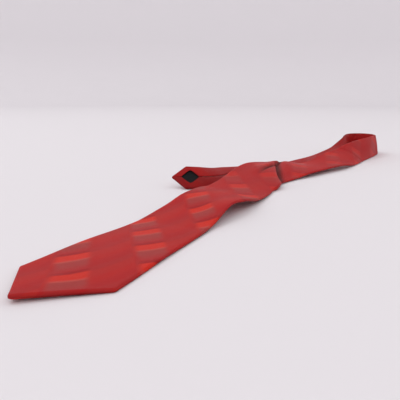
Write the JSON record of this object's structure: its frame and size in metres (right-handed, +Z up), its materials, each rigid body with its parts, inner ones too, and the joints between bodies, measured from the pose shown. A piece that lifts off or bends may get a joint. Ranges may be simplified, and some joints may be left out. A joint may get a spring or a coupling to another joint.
{
  "type": "necktie",
  "caption": "Silk jacquard necktie laid in a loose open loop: wide blade flat and front up, band standing round the loop, narrow tail lying back along it.",
  "frame": {"origin": "middle of the laid tie's bounding box, on the surface it lies on", "axes": "+X from the wide point towards the neck loop, +Y towards the narrow tail, +Z up"},
  "size_m": [0.8777, 0.1839, 0.0396],
  "materials": {
    "silk": "bias-cut silk jacquard, soft sheen, broken diagonal stripes in reds and a muted mauve",
    "canvas": "napped wool and cotton interlining, matte",
    "lining": "plain black satin lining",
    "thread": "red sewing silk",
    "tape": "blank woven tape"
  },
  "bodies": {
    "blade_and_neck": {"blade_envelope": "silk", "neck_envelope": "silk", "blade_interlining": "canvas", "neck_interlining": "canvas", "blade_tipping": "lining", "blade_slip_stitch": "thread", "neck_slip_stitch": "thread", "blade_bar_tack": "thread", "blade_bias_seam_thread": "thread", "tail_bias_seam_thread": "thread", "keeper_loop": "silk", "keeper_tack_left": "thread", "keeper_tack_right": "thread", "care_label": "tape"},
    "tail": {"tail_envelope": "silk", "tail_interlining": "canvas", "tail_tipping": "lining", "tail_slip_stitch": "thread", "tail_bar_tack": "thread"}
  },
  "joints": [
    {"name": "tail_swing", "type": "hinge", "parent": "blade_and_neck", "child": "tail", "pos_m": [0.41694, 0.02331, 0], "axis": [0, 0, -1], "range_deg": [0, 20]}
  ]
}
